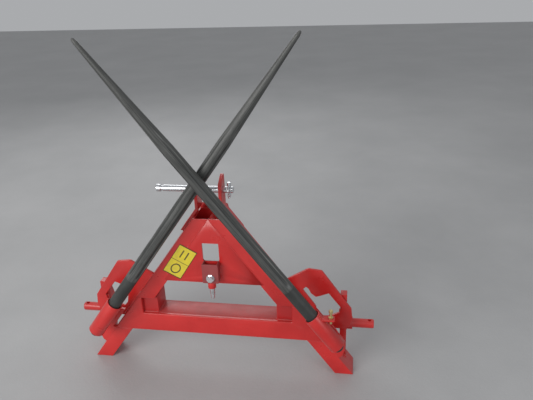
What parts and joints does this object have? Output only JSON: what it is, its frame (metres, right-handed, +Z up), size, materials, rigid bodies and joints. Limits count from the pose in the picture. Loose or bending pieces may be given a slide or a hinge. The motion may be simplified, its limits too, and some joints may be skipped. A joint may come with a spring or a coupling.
{
  "type": "bale spear",
  "caption": "Three-point linkage bale spear: red A-frame on splayed feet with two black tines stowed crosswise in sleeves, top-link clevis and lower-link pins.",
  "frame": {"origin": "on the floor, under the middle of the whole object's box: midway between the feet, 11.24 mm behind the front faces of the frame", "axes": "+X to the right seen from the tine side, +Y rearwards to the tractor side, +Z up"},
  "size_m": [0.956, 0.2076, 1.0263],
  "materials": {
    "red_paint": "glossy red enamel, lightly scuffed",
    "shaded_red_paint": "the same enamel, duller and dusty",
    "worn_red_paint": "faded enamel with brown wear",
    "tine_black": "black painted forged steel with wear along the flutes",
    "zinc": "bright zinc plating",
    "yellow_zinc": "yellow passivated zinc"
  },
  "bodies": {
    "frame": {"apex_gusset": "red_paint", "bracket_bolt": "zinc", "clevis_left": "red_paint", "clevis_right": "red_paint", "cross_rail": "shaded_red_paint", "face_plate": "red_paint", "foot_left": "red_paint", "foot_right": "red_paint", "leg_left": "red_paint", "leg_post_left": "shaded_red_paint", "leg_post_right": "shaded_red_paint", "leg_right": "red_paint", "linch_pin": "zinc", "lock_pin": "yellow_zinc", "lock_tab": "red_paint", "lower_link_pin_left": "red_paint", "lower_link_pin_right": "red_paint", "lug_left": "red_paint", "lug_right": "red_paint", "rear_gusset": "shaded_red_paint", "sleeve_left": "red_paint", "sleeve_right": "red_paint", "strut_left": "red_paint", "strut_right": "red_paint", "stud": "zinc", "stud_bracket": "worn_red_paint", "stud_collar": "red_paint", "tine_left": "tine_black", "tine_right": "tine_black", "top_link_pin": "zinc", "web_left": "red_paint", "web_right": "red_paint", "wing_left": "red_paint", "wing_right": "red_paint"},
    "linch_ring": {"linch_ring": "zinc"}
  },
  "joints": [
    {"name": "linch_ring_turn", "type": "hinge", "parent": "frame", "child": "linch_ring", "pos_m": [0.058, 0.03176, 0.60644], "axis": [0, -1, 0], "range_deg": [0, 150]}
  ]
}
